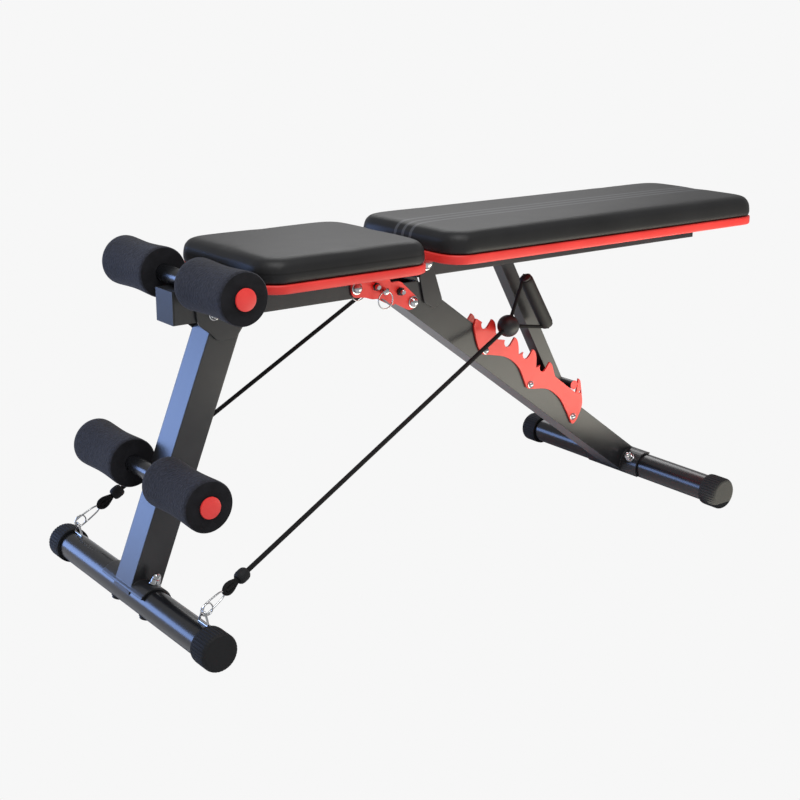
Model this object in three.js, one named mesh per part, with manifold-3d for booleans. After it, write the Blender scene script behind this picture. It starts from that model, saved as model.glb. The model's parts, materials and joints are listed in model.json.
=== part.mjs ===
// Adjustable weight bench: an A-frame that folds at a two-plate knuckle, a seat with foam leg
// rollers, a backrest that rises on a strut and a toothed ladder, and a pull cord on each side.
// Millimetres, +Z up, +X from the foot rollers to the head end. The origin is on the floor under
// the middle of the bench; in this file x is measured from the front foot's axis. Right is -Y.
import * as THREE from 'three';
import { mergeVertices } from 'three/addons/utils/BufferGeometryUtils.js';
import Module from 'manifold-3d';

const wasm = await Module();
wasm.setup();

// ---- driving dimensions ---------------------------------------------------------------------
const GAP = 0.3; // clearance between touching pieces

const FOOT_SPACING = 883; // front foot axis to rear foot axis
const FOOT_HALF = 214; // half the length of a foot, caps included
const FOOT_R = 20;
const FOOT_WALL = 1.8;
const CAP_R = 24;
const CAP_LENGTH = 30;
const CAP_END = 4; // closed end of a foot cap
const CAP_SIDES = 36;
const SADDLE_HALF = 54; // half the length of the curved plate under each leg
const SADDLE_WALL = 3;
const SADDLE_BOLT_Y = 38;
const FOOT_BOLT_R = 3.5;

const TUBE = 42; // square frame tube
const TUBE_WALL = 2;
const SEAT_BEAM_Z = 365; // underside of the seat beam
const SEAT_BEAM_FRONT = 60;
const SEAT_BEAM_REAR = 383;
const FRONT_LEG_X = 136; // front leg's middle line, where it meets the seat beam's underside
const KNEE = [425, 357.7]; // a point on the rear leg's middle line
const LEG_TOP_Z = 376; // the rear leg is cut level here, and square at LEG_TOP_X
const LEG_TOP_X = 388;

const PLATE = 3; // knuckle plates, ladder plates, ears and gussets
const SEAT_PIVOT = [330, 379]; // the front frame folds about this bolt
const RIVET = [360.5, 378];
const LOCK_PIN = [372.5, 371];
const LOCK_PIN_R = 4;
const LOCK_RING_R = 12;
const LOCK_RING_WIRE = 1.1;
const KNEE_BOLTS = [[23.5, -6.5], [-5.3, -7.3]]; // up the rear leg and above its middle, from the knee
const PIVOT_R = 5;
const PIVOT_HEAD = 7;
const GUSSET_BOLT = [113, 373];

const BACK_PIVOT = [447, 400];
const EAR_R = 10.5;
const BACK_BEAM_Z = 381; // underside of the backrest beam
const BACK_BEAM_HEIGHT = 30;
const BACK_BEAM_FRONT = 432;
const BACK_BEAM_REAR = 996;

const PAD_WIDTH = 228;
const PAD_CORNER = 36;
const SEAT_FRONT = 132;
const SEAT_REAR = 393;
const SEAT_BOARD = 11;
const SEAT_FOAM = 29.4;
const BACK_FRONT = 422;
const BACK_REAR = 1043;
const BACK_BOARD = 12;
const BACK_FOAM = 29.4;
const FOAM_ROUND = 22;

const STRUT_PIVOT_X = 598;
const STRUT_ROOM = 0.5; // room between the strut's head and the beam's upper wall
const STRUT = 21;
const STRUT_WALL = 2;
const STRUT_CLEAR = 3; // strut's end above the rear leg
const STRUT_TAIL = 6; // strut past its cross bar
const STRUT_BOLT_R = 4;
const BAR_R = 6.5;
const BAR_WELD = 0.3; // the cross bar sinks this far into the strut
// Cross bar places, from the steepest backrest to the level one: distance down the rear leg from the
// knee, and height above the leg's upper face.
const NOTCHES = [[141.47, 9], [197.87, 8.9], [242.27, 11.6], [285.87, 12], [362.97, 20]];
const TOOTH = 12.7; // height of a tooth above the notch before it
const LADDER_BOLTS = [166.47, 279.07, 392.87]; // down the rear leg from the knee
const LADDER_BOLT_R = 4;

const ROLLER_R = 32.5;
const ROLLER_WAIST = 2;
const ROLLER_INNER = 42;
const ROLLER_OUTER = 151;
const ROLLER_TUBE_R = 11;
const ROLLER_TUBE_WALL = 1.5;
const UPPER_ROLLER_X = 81.3;
const LOWER_ROLLER_Z = 178.4;
const PLUG_R = 13.6;
const PLUG_FLANGE = 2.5;

const EYE_X = 3; // cord eye on the front foot
const EYE_HALF = 10;
const EYE_RISE = 15;
const EYE_WIRE = 2;
const HOOK_LENGTH = 37;
const HOOK_HALF = 6;
const HOOK_WIRE = 1.2;
const CORD_R = 3.1;
const CLAMP_R = 8;
const CLAMP_LENGTH = 16;
const CLAMP_AT = 21; // clamp past the hook, along the cord
const BALL_R = 16;
// Each handle's stopper ball and the ends of its grip; the left one hangs under the backrest board.
const HANDLES = {
  right: { ball: [587, -40.9, 295.4], grip: [[621.8, -36.5, 360], [667.3, -36.5, 286.2]] },
  left: { ball: [551, 120, 390], grip: [[612, 77, 393], [612, 163, 393]] },
};
const GRIP_R = 10;
const STRAP_R = 2.8;

const HALF = TUBE / 2;
const SIDE = HALF + GAP; // inner face of every side plate
const OUT = SIDE + PLATE; // outer face of every side plate
const SEAT_BEAM_TOP = SEAT_BEAM_Z + TUBE;
const BACK_BEAM_TOP = BACK_BEAM_Z + BACK_BEAM_HEIGHT;
const STRUT_PIVOT = [STRUT_PIVOT_X, BACK_BEAM_TOP - TUBE_WALL - STRUT_ROOM - STRUT / 2];
const MIDDLE_X = (BACK_REAR - CAP_R) / 2;

// ---- materials ------------------------------------------------------------------------------
const paint = (name, color, roughness, metalness) =>
  new THREE.MeshStandardMaterial({ name, color, roughness, metalness });
const BLACK = paint('frame_black', 0x26272b, 0.35, 0.4);
const RED = paint('plate_red', 0xe0332f, 0.4, 0.2);
const BOARD_RED = paint('board_red', 0xe0332f, 0.45, 0);
const RUBBER = paint('cap_rubber', 0x1d1e20, 0.8, 0);
const PLASTIC = paint('black_plastic', 0x202124, 0.5, 0);
const RED_PLASTIC = paint('red_plastic', 0xdc3536, 0.45, 0);
const FOAM = paint('foam', 0x33343c, 0.95, 0);
const VINYL = paint('vinyl', 0x2b2b2d, 0.5, 0);
const CHROME = paint('chrome', 0xd8dadd, 0.15, 1);
const CORD = paint('cord', 0x121213, 0.85, 0);

// ---- solids ---------------------------------------------------------------------------------
function solid(geometry) {
  const bare = geometry.index ? geometry.toNonIndexed() : geometry.clone();
  for (const name of Object.keys(bare.attributes)) {
    if (name !== 'position') bare.deleteAttribute(name);
  }
  const merged = mergeVertices(bare, 1e-4);
  return new wasm.Manifold(new wasm.Mesh({
    numProp: 3,
    vertProperties: new Float32Array(merged.attributes.position.array),
    triVerts: new Uint32Array(merged.index.array),
  }));
}

function geometryOf(manifold) {
  const mesh = manifold.getMesh();
  const geometry = new THREE.BufferGeometry();
  geometry.setAttribute('position', new THREE.BufferAttribute(new Float32Array(mesh.vertProperties), 3));
  geometry.setIndex(new THREE.BufferAttribute(new Uint32Array(mesh.triVerts), 1));
  return geometry;
}

const join = (first, ...rest) => rest.reduce((all, next) => all.add(next), first);
const cut = (first, ...rest) => rest.reduce((all, next) => all.subtract(next), first);
const mirror = (manifold) => manifold.mirror([0, 1, 0]);

const box = (x0, x1, y0, y1, z0, z1) => solid(
  new THREE.BoxGeometry(x1 - x0, y1 - y0, z1 - z0)
    .translate((x0 + x1) / 2, (y0 + y1) / 2, (z0 + z1) / 2));

// A round bar along Y, between y0 and y1, on the axis (x, z).
const rod = ([x, z], radius, y0, y1, sides = 24) => solid(
  new THREE.CylinderGeometry(radius, radius, y1 - y0, sides).translate(x, (y0 + y1) / 2, z));

// The hole for a bolt along Y, right through the frame.
const hole = (at, radius) => rod(at, radius + GAP, -2 * OUT, 2 * OUT, 14);

const lathe = (profile, sides) =>
  new THREE.LatheGeometry(profile.map(([radius, y]) => new THREE.Vector2(radius, y)), sides);

// A turned piece along Y: the profile lists [radius, y] and rises in y on its outer side.
const turned = (profile, [x, z], sides) => solid(lathe(profile, sides).translate(x, 0, z));

// A flat piece in the XZ plane, between y0 and y1, with an outline of [x, z, corner radius].
function plate(outline, y0, y1) {
  const shape = new THREE.Shape();
  outline.forEach(([x, z, radius = 0], i) => {
    const corner = new THREE.Vector2(x, z);
    const ends = [outline.at(i - 1), outline[(i + 1) % outline.length]].map(([endX, endZ]) => {
      const way = new THREE.Vector2(endX - x, endZ - z);
      const step = Math.min(radius, 0.5 * way.length());
      return corner.clone().addScaledVector(way.normalize(), step);
    });
    shape[i ? 'lineTo' : 'moveTo'](ends[0].x, ends[0].y);
    if (radius) shape.quadraticCurveTo(x, z, ends[1].x, ends[1].y);
  });
  shape.closePath();
  const geometry = new THREE.ExtrudeGeometry(shape, { depth: y1 - y0, bevelEnabled: false, curveSegments: 3 });
  return solid(geometry.rotateX(Math.PI / 2).translate(0, y1, 0));
}

// A rectangular block in the XZ plane's direction from a to b, "across" wide in Y.
function slab(a, b, across, deep, extra = 0) {
  const run = new THREE.Vector2(b[0] - a[0], b[1] - a[1]);
  return solid(new THREE.BoxGeometry(run.length() + extra, across, deep).rotateY(-run.angle())
    .translate((a[0] + b[0]) / 2, 0, (a[1] + b[1]) / 2));
}

const squareTube = (a, b, across, deep, wall) =>
  cut(slab(a, b, across, deep), slab(a, b, across - 2 * wall, deep - 2 * wall, 2));

// A round wire along a smooth curve, with flat ends.
function wireAlong(points, radius, steps, sides) {
  const section = new THREE.Shape();
  for (let i = 0; i < sides; i += 1) {
    const a = (2 * Math.PI * i) / sides;
    section[i ? 'lineTo' : 'moveTo'](radius * Math.cos(a), radius * Math.sin(a));
  }
  section.closePath();
  const way = points.map((point) => new THREE.Vector3(...point));
  const extrudePath = new THREE.CatmullRomCurve3(way, false, 'centripetal');
  return solid(new THREE.ExtrudeGeometry(section, { steps, bevelEnabled: false, extrudePath }));
}

// A through bolt along Y: a domed head on the right and a domed nut on the left.
function throughBolt(at, radius, head, reach) {
  const dome = 0.8 * head;
  return turned([[0, -reach - dome], [0.7 * head, -reach - 0.7 * dome], [head, -reach], [radius, -reach],
    [radius, reach], [head, reach], [0.7 * head, reach + 0.7 * dome], [0, reach + dome]], at, 14);
}

// ---- the object's group ---------------------------------------------------------------------
const group = new THREE.Group();
group.position.x = -MIDDLE_X;

function add(name, manifold, material) {
  const mesh = new THREE.Mesh(geometryOf(manifold), material);
  mesh.name = name;
  group.add(mesh);
}

// The piece is drawn on the right, and its mirror image goes on the left.
function addPair(name, manifold, material) {
  add(`${name}_right`, manifold, material);
  add(`${name}_left`, mirror(manifold), material);
}

// ---- feet -----------------------------------------------------------------------------------
const frontFoot = [0, CAP_R];
const rearFoot = [FOOT_SPACING, CAP_R];
const angleOf = ([x0, z0], [x1, z1]) => Math.atan2(z1 - z0, x1 - x0);
const frontAngle = angleOf(frontFoot, [FRONT_LEG_X, SEAT_BEAM_Z]);
const rearAngle = angleOf(rearFoot, KNEE);

// The facets of a cap lie at CAP_R, and one of them is flat on the floor.
function footCap([x, z]) {
  const outer = CAP_R / Math.cos(Math.PI / CAP_SIDES);
  const bore = FOOT_R + GAP;
  const end = -FOOT_HALF;
  const cap = lathe([[0, end], [outer - 2, end], [outer, end + 2], [outer, end + CAP_LENGTH],
    [bore, end + CAP_LENGTH], [bore, end + CAP_END], [0, end + CAP_END]], CAP_SIDES);
  return solid(cap.rotateY(Math.PI / CAP_SIDES).translate(x, 0, z));
}

// A bolt through the foot at y, in line with the leg: profile points are [radius, height].
const alongLeg = (profile, [x, z], y, angle) =>
  solid(lathe(profile, 12).rotateX(Math.PI / 2).rotateY(Math.PI / 2 - angle).translate(x, y, z));

function footBolt(at, y, angle) {
  const under = FOOT_R + SADDLE_WALL + 2 * GAP;
  return alongLeg([[0, -FOOT_R - 2], [FOOT_BOLT_R, -FOOT_R - 2], [FOOT_BOLT_R, under], [7, under],
    [7, under + 5], [5.5, under + 8.5], [2.5, under + 10.5], [0, under + 11]], at, y, angle);
}

function footBoltHole(at, y, angle) {
  const reach = 2 * CAP_R;
  const radius = FOOT_BOLT_R + GAP;
  return alongLeg([[0, -reach], [radius, -reach], [radius, reach], [0, reach]], at, y, angle);
}

const footBoltHoles = (at, angle) => [-SADDLE_BOLT_Y, SADDLE_BOLT_Y].map((y) => footBoltHole(at, y, angle));

// The saddle wraps the foot on the side that its leg comes from.
function saddle(at, angle) {
  const inner = FOOT_R + GAP;
  const outer = inner + SADDLE_WALL;
  const shell = cut(rod(at, outer, -SADDLE_HALF, SADDLE_HALF, 36), rod(at, inner, -FOOT_HALF, FOOT_HALF, 36));
  const wrap = new THREE.BoxGeometry(outer, 3 * SADDLE_HALF, 2 * outer);
  wrap.translate(outer / 2 + 0.25 * inner, 0, 0);
  return shell.intersect(solid(wrap.rotateY(-angle).translate(at[0], 0, at[1])));
}

function addFoot(side, at, angle) {
  const end = FOOT_HALF - CAP_END - GAP;
  const tube = cut(rod(at, FOOT_R, -end, end, 36), rod(at, FOOT_R - FOOT_WALL, -FOOT_HALF, FOOT_HALF, 36));
  add(`${side}_foot_tube`, cut(tube, ...footBoltHoles(at, angle)), BLACK);
  addPair(`${side}_foot_cap`, footCap(at), RUBBER);
  addPair(`${side}_foot_bolt`, footBolt(at, -SADDLE_BOLT_Y, angle), CHROME);
}

// A leg: a square tube from its foot up, with the saddle welded on its lower end.
function leg(at, angle, length) {
  const top = [at[0] + length * Math.cos(angle), at[1] + length * Math.sin(angle)];
  const tube = cut(squareTube(at, top, TUBE, TUBE, TUBE_WALL), rod(at, FOOT_R + GAP, -TUBE, TUBE, 36));
  return cut(join(tube, saddle(at, angle)), ...footBoltHoles(at, angle));
}

addFoot('front', frontFoot, frontAngle);
addFoot('rear', rearFoot, rearAngle);

// ---- seat beam and front leg ----------------------------------------------------------------
const beamZ = SEAT_BEAM_Z + HALF;
const inner = HALF - TUBE_WALL - GAP; // half width of what slides into the square tube
add('front_leg', cut(leg(frontFoot, frontAngle, 2 * SEAT_BEAM_Z),
  box(0, 2 * SEAT_BEAM_REAR, -TUBE, TUBE, SEAT_BEAM_Z - GAP, 3 * SEAT_BEAM_Z)), BLACK);
add('seat_beam', cut(
  squareTube([SEAT_BEAM_FRONT, beamZ], [SEAT_BEAM_REAR, beamZ], TUBE, TUBE, TUBE_WALL),
  hole(SEAT_PIVOT, PIVOT_R), hole(LOCK_PIN, LOCK_PIN_R), hole(GUSSET_BOLT, LADDER_BOLT_R)), BLACK);
add('seat_beam_plug', join(
  box(SEAT_BEAM_FRONT - 2, SEAT_BEAM_FRONT - GAP, -HALF, HALF, SEAT_BEAM_Z, SEAT_BEAM_TOP),
  box(SEAT_BEAM_FRONT - 1, SEAT_BEAM_FRONT + 14, -inner, inner, beamZ - inner, beamZ + inner)), PLASTIC);

const legLeft = FRONT_LEG_X - HALF / Math.sin(frontAngle);
const gusset = plate([[legLeft - 25, SEAT_BEAM_TOP - 7, 3], [legLeft - 25, SEAT_BEAM_Z - 2, 14],
  [legLeft - 8, SEAT_BEAM_Z - 14, 8], [legLeft + 4, SEAT_BEAM_Z - 27, 4], [legLeft + 30, SEAT_BEAM_Z - 27, 6],
  [legLeft + 52, SEAT_BEAM_Z + 2, 6], [legLeft + 52, SEAT_BEAM_TOP - 7, 3]], -OUT, -SIDE);
addPair('leg_gusset', cut(gusset, hole(GUSSET_BOLT, LADDER_BOLT_R)), BLACK);
add('gusset_bolt', throughBolt(GUSSET_BOLT, LADDER_BOLT_R, PIVOT_HEAD, OUT + GAP), CHROME);

// ---- pads -----------------------------------------------------------------------------------
// A pad's outline in plan, drawn inset by a distance, at height z.
function padRing(x0, x1, z, inset) {
  const corner = Math.max(PAD_CORNER - inset, 6);
  const points = [];
  for (let quarter = 0; quarter < 4; quarter += 1) {
    const cx = quarter % 3 ? x0 + inset + corner : x1 - inset - corner;
    const cy = (quarter < 2 ? 1 : -1) * (PAD_WIDTH / 2 - inset - corner);
    for (let step = 0; step <= 6; step += 1) {
      const a = (quarter + step / 6) * (Math.PI / 2);
      points.push([cx + corner * Math.cos(a), cy + corner * Math.sin(a), z]);
    }
  }
  return points;
}

// A closed solid through level rings of equal count, from the lowest up.
function lofted(rings) {
  const count = rings[0].length;
  const corners = [];
  for (let ring = 0; ring + 1 < rings.length; ring += 1) {
    for (let i = 0; i < count; i += 1) {
      const next = (i + 1) % count;
      const [low, high] = [rings[ring], rings[ring + 1]];
      corners.push(low[i], low[next], high[next], low[i], high[next], high[i]);
    }
  }
  const [bottom, top] = [rings[0], rings.at(-1)];
  for (let i = 1; i + 1 < count; i += 1) {
    corners.push(bottom[0], bottom[i + 1], bottom[i], top[0], top[i], top[i + 1]);
  }
  const geometry = new THREE.BufferGeometry();
  geometry.setAttribute('position', new THREE.Float32BufferAttribute(corners.flat(), 3));
  return solid(geometry);
}

function addPad(name, x0, x1, z, boardHeight, foamHeight) {
  add(`${name}_board`, lofted([padRing(x0, x1, z, 0), padRing(x0, x1, z + boardHeight, 0)]), BOARD_RED);
  const foamZ = z + boardHeight + GAP;
  const rings = [padRing(x0, x1, foamZ, 0)];
  for (let step = 0; step <= 4; step += 1) {
    const a = (step / 4) * (Math.PI / 2);
    const height = foamHeight - FOAM_ROUND * (1 - Math.sin(a));
    rings.push(padRing(x0, x1, foamZ + height, FOAM_ROUND * (1 - Math.cos(a))));
  }
  add(`${name}_cushion`, lofted(rings), VINYL);
}

addPad('seat', SEAT_FRONT, SEAT_REAR, SEAT_BEAM_TOP + GAP, SEAT_BOARD, SEAT_FOAM);
addPad('backrest', BACK_FRONT, BACK_REAR, BACK_BEAM_TOP + GAP, BACK_BOARD, BACK_FOAM);

// ---- leg rollers ----------------------------------------------------------------------------
function addRoller(name, at) {
  const end = ROLLER_OUTER + 1;
  add(`${name}_roller_tube`, cut(rod(at, ROLLER_TUBE_R, -end, end),
    rod(at, ROLLER_TUBE_R - ROLLER_TUBE_WALL, -end - 1, end + 1)), BLACK);
  const bore = ROLLER_TUBE_R + GAP;
  const profile = [[bore, -ROLLER_OUTER], [ROLLER_R - 2, -ROLLER_OUTER], [ROLLER_R, -ROLLER_OUTER + 2]];
  for (const share of [0.25, 0.5, 0.75]) {
    const y = -ROLLER_OUTER + share * (ROLLER_OUTER - ROLLER_INNER);
    profile.push([ROLLER_R - ROLLER_WAIST * Math.sin(share * Math.PI), y]);
  }
  profile.push([ROLLER_R, -ROLLER_INNER - 2], [ROLLER_R - 2, -ROLLER_INNER], [bore, -ROLLER_INNER]);
  addPair(`${name}_roller`, turned([...profile, profile[0]], at, 24), FOAM);
  const stem = ROLLER_TUBE_R - ROLLER_TUBE_WALL - GAP;
  const face = -end - GAP - PLUG_FLANGE;
  const plug = turned([[0, face], [PLUG_R - 1, face], [PLUG_R, face + 1], [PLUG_R, -end - GAP],
    [stem, -end - GAP], [stem, -end + 12], [0, -end + 12]], at, 24);
  addPair(`${name}_roller_plug`, plug, RED_PLASTIC);
}

const legFace = HALF + ROLLER_TUBE_R + GAP;
addRoller('upper', [UPPER_ROLLER_X, SEAT_BEAM_TOP + ROLLER_TUBE_R + GAP]);
addRoller('lower', [(LOWER_ROLLER_Z - CAP_R) / Math.tan(frontAngle) - legFace / Math.sin(frontAngle),
  LOWER_ROLLER_Z]);

// ---- rear leg: s runs up it from its foot's axis, t is the height above its upper face ---------
const legUp = [Math.cos(rearAngle), Math.sin(rearAngle)];
const legOut = [Math.sin(rearAngle), -Math.cos(rearAngle)];
const onLeg = ([s, t]) => [rearFoot[0] + s * legUp[0] + (t + HALF) * legOut[0],
  rearFoot[1] + s * legUp[1] + (t + HALF) * legOut[1]];
const kneeAt = Math.hypot(KNEE[0] - rearFoot[0], KNEE[1] - rearFoot[1]);
const kneeBolts = KNEE_BOLTS.map(([s, t]) => onLeg([kneeAt + s, t - HALF]));
const notches = NOTCHES.map(([down, out]) => [kneeAt - down, out]);
const ladderBolts = LADDER_BOLTS.map((down) => onLeg([kneeAt - down, -HALF]));
add('rear_leg', cut(leg(rearFoot, rearAngle, kneeAt + 4 * TUBE),
  box(-SEAT_REAR, LEG_TOP_X, -TUBE, TUBE, 0, 3 * SEAT_BEAM_Z),
  box(-SEAT_REAR, FOOT_SPACING, -TUBE, TUBE, LEG_TOP_Z, 3 * SEAT_BEAM_Z),
  hole(kneeBolts[0], LADDER_BOLT_R), hole(kneeBolts[1], PIVOT_R),
  ...ladderBolts.map((at) => hole(at, LADDER_BOLT_R))), BLACK);

// ---- knuckle: two plates that join the seat beam to the rear leg -----------------------------
const [kneeX, kneeZ] = kneeBolts[1];
const knuckle = plate([[322, SEAT_BEAM_Z + 29, 3], [322, SEAT_BEAM_Z + 2, 8], [344, SEAT_BEAM_Z, 5],
  [354, SEAT_BEAM_Z - 4, 5], [374, SEAT_BEAM_Z - 5, 4], [kneeX - 34, kneeZ - 1, 2],
  [kneeX - 31, kneeZ + 1.5, 1], [kneeX - 3, kneeZ - 13, 8], [kneeX + 11, kneeZ + 2, 8],
  [kneeX - 22, kneeZ + 31.5, 4], [387, LEG_TOP_Z + 4, 2], [380, SEAT_BEAM_Z + 29, 4]], -OUT, -SIDE);
const knuckleHoles = [hole(SEAT_PIVOT, PIVOT_R), hole(LOCK_PIN, LOCK_PIN_R),
  hole(kneeBolts[0], LADDER_BOLT_R), hole(kneeBolts[1], PIVOT_R)];
const rivet = turned([[0, -OUT - 8], [2.5, -OUT - 8], [3.5, -OUT - 7], [3.5, -OUT - 2.5], [6, -OUT - 2],
  [6, -OUT + 1], [0, -OUT + 1]], RIVET, 16);
addPair('knuckle_plate', join(cut(knuckle, ...knuckleHoles), rivet), RED);
add('seat_pivot_bolt', throughBolt(SEAT_PIVOT, PIVOT_R, PIVOT_HEAD, OUT + GAP), CHROME);
add('knee_bolt_upper', throughBolt(kneeBolts[0], LADDER_BOLT_R, 5.5, OUT + GAP), CHROME);
add('knee_bolt_lower', throughBolt(kneeBolts[1], PIVOT_R, PIVOT_HEAD, OUT + GAP), CHROME);

// Lock pins: each shows its head and ring; the last of its shank, inside the beam, is left off.
const PIN_HEAD = 5.5;
const pinEyeY = -OUT - 7;
const PIN_EYE = LOCK_RING_WIRE + 1.7;
const pinEye = solid(new THREE.CylinderGeometry(PIN_EYE, PIN_EYE, 6 * PIN_HEAD, 12)
  .rotateZ(Math.PI / 2).translate(LOCK_PIN[0], pinEyeY, LOCK_PIN[1]));
const pin = turned([[0, pinEyeY - 4], [PIN_HEAD - 1, pinEyeY - 4], [PIN_HEAD, pinEyeY - 3],
  [PIN_HEAD, -OUT - GAP], [LOCK_PIN_R, -OUT - GAP], [LOCK_PIN_R, -SIDE - 0.2], [0, -SIDE - 0.2]], LOCK_PIN, 16);
addPair('lock_pin', cut(pin, pinEye), CHROME);

const ringProfile = [];
for (let i = 0; i <= 6; i += 1) {
  const a = (2 * Math.PI * i) / 6;
  ringProfile.push([LOCK_RING_R + LOCK_RING_WIRE * Math.cos(a), LOCK_RING_WIRE * Math.sin(a)]);
}
addPair('lock_ring', solid(lathe(ringProfile, 24).translate(LOCK_PIN[0], pinEyeY, LOCK_PIN[1] - LOCK_RING_R)),
  CHROME);

// ---- backrest -------------------------------------------------------------------------------
const [backX, backZ] = BACK_PIVOT;
const ear = join(rod(BACK_PIVOT, EAR_R, -OUT, -SIDE),
  plate([[backX - EAR_R, backZ], [backX - EAR_R, backZ - 18, 3], [backX - 2, kneeZ - 4, 3],
    [backX + 18, kneeZ - 16, 3], [backX + 30, kneeZ - 4, 4], [backX + EAR_R, backZ]], -OUT, -SIDE));
addPair('backrest_ear', cut(ear, hole(BACK_PIVOT, PIVOT_R)), BLACK);
add('backrest_pivot_bolt', throughBolt(BACK_PIVOT, PIVOT_R, 9.5, OUT + GAP), CHROME);

const backMiddle = BACK_BEAM_Z + BACK_BEAM_HEIGHT / 2;
const STRUT_SLOT = [44.5 + STRUT / 2, 17.5 + STRUT / 2]; // slot before and behind the strut's pivot
add('backrest_beam', cut(
  squareTube([BACK_BEAM_FRONT, backMiddle], [BACK_BEAM_REAR, backMiddle], TUBE, BACK_BEAM_HEIGHT, TUBE_WALL),
  hole(BACK_PIVOT, PIVOT_R), hole(STRUT_PIVOT, STRUT_BOLT_R),
  box(STRUT_PIVOT[0] - STRUT_SLOT[0], STRUT_PIVOT[0] + STRUT_SLOT[1], -STRUT / 2 - 1, STRUT / 2 + 1,
    BACK_BEAM_Z - 1, BACK_BEAM_Z + TUBE_WALL + 1)), BLACK);
const plugHalf = BACK_BEAM_HEIGHT / 2 - TUBE_WALL - GAP;
add('backrest_beam_plug', join(
  box(BACK_BEAM_REAR + GAP, BACK_BEAM_REAR + 2.5, -HALF, HALF, BACK_BEAM_Z, BACK_BEAM_TOP),
  box(BACK_BEAM_REAR - 14, BACK_BEAM_REAR + 1, -inner, inner, backMiddle - plugHalf, backMiddle + plugHalf)),
PLASTIC);

// ---- strut with its cross bar ---------------------------------------------------------------
const bar = onLeg(notches.at(-1));
const barOffset = STRUT / 2 + BAR_R - BAR_WELD;
const barReach = Math.hypot(bar[0] - STRUT_PIVOT[0], bar[1] - STRUT_PIVOT[1]);
const strutAngle = angleOf(STRUT_PIVOT, bar) - Math.asin(barOffset / barReach);
const strutLength = Math.sqrt(barReach ** 2 - barOffset ** 2) + STRUT_TAIL;
const strutEnd = [STRUT_PIVOT[0] + strutLength * Math.cos(strutAngle),
  STRUT_PIVOT[1] + strutLength * Math.sin(strutAngle)];
const strutBar = rod(bar, BAR_R, -OUT + 0.5, OUT - 0.5);
const underLeg = slab(onLeg([0, STRUT_CLEAR - TUBE]), onLeg([kneeAt, STRUT_CLEAR - TUBE]), 2 * TUBE, 2 * TUBE);
add('strut', cut(
  join(cut(squareTube(STRUT_PIVOT, strutEnd, STRUT, STRUT, STRUT_WALL), underLeg),
    rod(STRUT_PIVOT, STRUT / 2, -STRUT / 2, STRUT / 2), strutBar),
  hole(STRUT_PIVOT, STRUT_BOLT_R)), BLACK);
add('strut_bolt', throughBolt(STRUT_PIVOT, STRUT_BOLT_R, 6.5, HALF + GAP), CHROME);

// ---- ladder plates --------------------------------------------------------------------------
const NOTCH_SIDES = 6; // flats round the lower half of a notch
const REST_PLAY = 1.5; // play of the bar in the last notch
const REST_CORNER = 1.63; // last notch's corner beyond the bar's axis, in shares of its floor's depth
function ladderOutline() {
  const [firstS] = notches[0];
  const outline = [[firstS + 16.6, -3.4, 4], [firstS + 20.8, 8.1, 3]];
  const restFloor = BAR_R + REST_PLAY;
  const restCorner = REST_CORNER * restFloor;
  const rest = (BAR_R + GAP) / Math.cos(Math.PI / (2 * NOTCH_SIDES));
  notches.forEach(([s, t], i) => {
    const next = notches[i + 1];
    if (next) {
      for (let step = 0; step <= NOTCH_SIDES; step += 1) {
        const a = (Math.PI * step) / NOTCH_SIDES;
        outline.push([s + rest * Math.cos(a), t - rest * Math.sin(a)]);
      }
      const foot = Math.max(next[0] + rest, s - 32);
      outline.push([s - rest - 0.6, t + TOOTH, 1], [s - rest - 7, t + TOOTH - 0.5, 3],
        [0.5 * (s - rest + foot) - 2, t + 0.55 * TOOTH, 6]);
      if (foot > next[0] + rest) outline.push([foot, next[1] - restFloor, 2]);
    }
  });
  const [lastS, lastT] = notches.at(-1);
  outline.push([lastS - restCorner, lastT - restFloor], [lastS - 2.6, lastT + TOOTH, 1],
    [lastS - 8, lastT + TOOTH - 0.5, 3], [lastS - 22, lastT - 1, 10], [lastS - 38, lastT - 16, 10],
    [lastS - 42, -HALF - 2, 8], [lastS - 38, -HALF - 11, 5], [lastS - 18, -HALF - 1, 8]);
  outline.push([lastS + 14, -HALF + 12, 14], [lastS + 48, -HALF + 12, 14]);
  const lower = [[-145.2, -4, 8], [-135.2, -8, 4], [-125.2, -2, 8], [-99.2, 12, 14], [-67.2, 12, 14],
    [-33.2, -3, 8], [-23.2, -8, 4], [-12.2, -4, 8], [-1.2, 3, 8]];
  outline.push(...lower.map(([along, out, radius]) => [firstS + along, out - HALF, radius]));
  return outline.map(([s, t, radius]) => [...onLeg([s, t]), radius]);
}
const ladder = cut(plate(ladderOutline(), -OUT, -SIDE), ...ladderBolts.map((at) => hole(at, LADDER_BOLT_R)),
  hole(onLeg([184.3, 17.3]), 2.2));
addPair('ladder_plate', ladder, RED);
ladderBolts.forEach((at, i) =>
  add(`ladder_bolt_${i + 1}`, throughBolt(at, LADDER_BOLT_R, 6, OUT + GAP), CHROME));

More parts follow.
